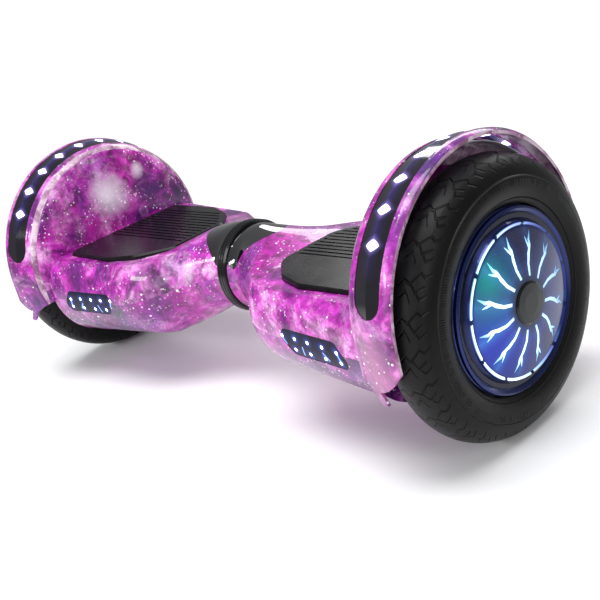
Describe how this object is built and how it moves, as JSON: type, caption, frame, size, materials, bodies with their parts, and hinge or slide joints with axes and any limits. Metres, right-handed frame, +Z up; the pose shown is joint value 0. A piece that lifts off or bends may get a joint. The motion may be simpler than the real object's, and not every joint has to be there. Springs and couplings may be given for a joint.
{
  "type": "self-balancing two-wheel board",
  "caption": "Two-wheel standing board: a twisting waist joins two lit halves, each with a foot pad, a wheel arch and a large hub-motor wheel.",
  "frame": {"origin": "on the floor, under the middle of the board", "axes": "+X along the axles to the board's right wheel, +Z up, front with the headlights faces -Y"},
  "size_m": [0.7192, 0.2734, 0.2747],
  "materials": {
    "galaxy_film": "glossy printed film",
    "galaxy_film_lower": "glossy printed film",
    "black_gloss": "mirror gloss black",
    "smoked_lens": "smoked glossy lens",
    "led_board": "white flexible board",
    "headlight_lens": "tinted glossy lens",
    "headlight_board": "dark board with white lights",
    "pad_rubber": "satin ribbed rubber",
    "green_board": "solder mask",
    "cast_alloy": "cast",
    "black_steel": "black oxide",
    "black_steel_small": "black oxide",
    "axle_steel": "ground steel",
    "motor_core": "laminations and enamelled copper",
    "magnets": "nickel plated",
    "rim_blue": "dark blue anodised",
    "motor_cover": "black painted cast",
    "hub_screws": "zinc",
    "bearing_steel": "ground steel",
    "tyre_rubber": "satin black rubber",
    "hub_blue": "dark blue metallic",
    "light_guide": "clear lit moulding",
    "cap_black": "gloss black",
    "deck_alloy": "cast, satin",
    "shaft_steel": "ground steel",
    "spring_steel": "spring steel",
    "bush_brass": "oiled bronze",
    "ring_rubber": "satin rubber",
    "main_board": "solder mask and parts",
    "cell_wrap": "wrapped cells",
    "battery_case": "black moulded",
    "socket_black": "black moulded",
    "cap_rubber": "soft rubber",
    "button_grey": "satin grey"
  },
  "bodies": {
    "left_half": {"left_upper_shell": "galaxy_film", "left_lower_shell": "galaxy_film_lower", "left_waist_trim": "black_gloss", "left_arch_light_cover": "smoked_lens", "left_arch_led_strip": "led_board", "left_headlight_lens": "headlight_lens", "left_headlight_board": "headlight_board", "left_sensor_board": "green_board", "left_axle_clamp": "cast_alloy", "left_clamp_bolts": "black_steel", "left_shell_screws": "black_steel_small", "left_axle": "axle_steel", "left_stator": "motor_core", "left_frame": "deck_alloy", "pivot_bushes": "bush_brass", "centre_ring": "ring_rubber", "battery_cells": "cell_wrap", "battery_case": "battery_case", "charge_socket": "socket_black"},
    "right_half": {"right_upper_shell": "galaxy_film", "right_lower_shell": "galaxy_film_lower", "right_waist_trim": "black_gloss", "right_arch_light_cover": "smoked_lens", "right_arch_led_strip": "led_board", "right_headlight_lens": "headlight_lens", "right_headlight_board": "headlight_board", "right_sensor_board": "green_board", "right_axle_clamp": "cast_alloy", "right_clamp_bolts": "black_steel", "right_shell_screws": "black_steel_small", "right_axle": "axle_steel", "right_stator": "motor_core", "right_frame": "deck_alloy", "pivot_shaft": "shaft_steel", "pivot_clip": "spring_steel", "mainboard": "main_board"},
    "left_wheel": {"left_magnet_ring": "magnets", "left_rim": "rim_blue", "left_motor_cover": "motor_cover", "left_hub_screws": "hub_screws", "left_wheel_bearings": "bearing_steel", "left_tyre": "tyre_rubber", "left_hub_cover": "hub_blue", "left_hub_light_guide": "light_guide", "left_centre_cap": "cap_black"},
    "right_wheel": {"right_magnet_ring": "magnets", "right_rim": "rim_blue", "right_motor_cover": "motor_cover", "right_hub_screws": "hub_screws", "right_wheel_bearings": "bearing_steel", "right_tyre": "tyre_rubber", "right_hub_cover": "hub_blue", "right_hub_light_guide": "light_guide", "right_centre_cap": "cap_black"},
    "left_pad": {"left_foot_pad": "pad_rubber"},
    "right_pad": {"right_foot_pad": "pad_rubber"},
    "button": {"power_button": "button_grey"},
    "flap": {"charge_cap": "cap_rubber"}
  },
  "joints": [
    {"name": "centre_twist", "type": "hinge", "parent": "left_half", "child": "right_half", "pos_m": [0, 0, 0.1315], "axis": [1, 0, 0], "range_deg": [-12, 12], "stiffness_Nm_per_rad": 6},
    {"name": "left_wheel_spin", "type": "hinge", "parent": "left_half", "child": "left_wheel", "pos_m": [-0.32, 0, 0.127], "axis": [1, 0, 0], "continuous": true},
    {"name": "right_wheel_spin", "type": "hinge", "parent": "right_half", "child": "right_wheel", "pos_m": [0.32, 0, 0.127], "axis": [1, 0, 0], "continuous": true},
    {"name": "left_pad_press", "type": "slide", "parent": "left_half", "child": "left_pad", "axis": [0, 0, -1], "range_m": [0, 0.002], "stiffness_N_per_m": 8000, "springref_m": -0.001},
    {"name": "right_pad_press", "type": "slide", "parent": "right_half", "child": "right_pad", "axis": [0, 0, -1], "range_m": [0, 0.002], "stiffness_N_per_m": 8000, "springref_m": -0.001},
    {"name": "power_button_press", "type": "slide", "parent": "right_half", "child": "button", "axis": [0, -1, 0], "range_m": [0, 0.0015], "stiffness_N_per_m": 800, "springref_m": -0.001},
    {"name": "charge_cap_hinge", "type": "hinge", "parent": "left_half", "child": "flap", "pos_m": [-0.15, 0.11093, 0.109], "axis": [1, 0, 0], "range_deg": [0, 110]}
  ]
}
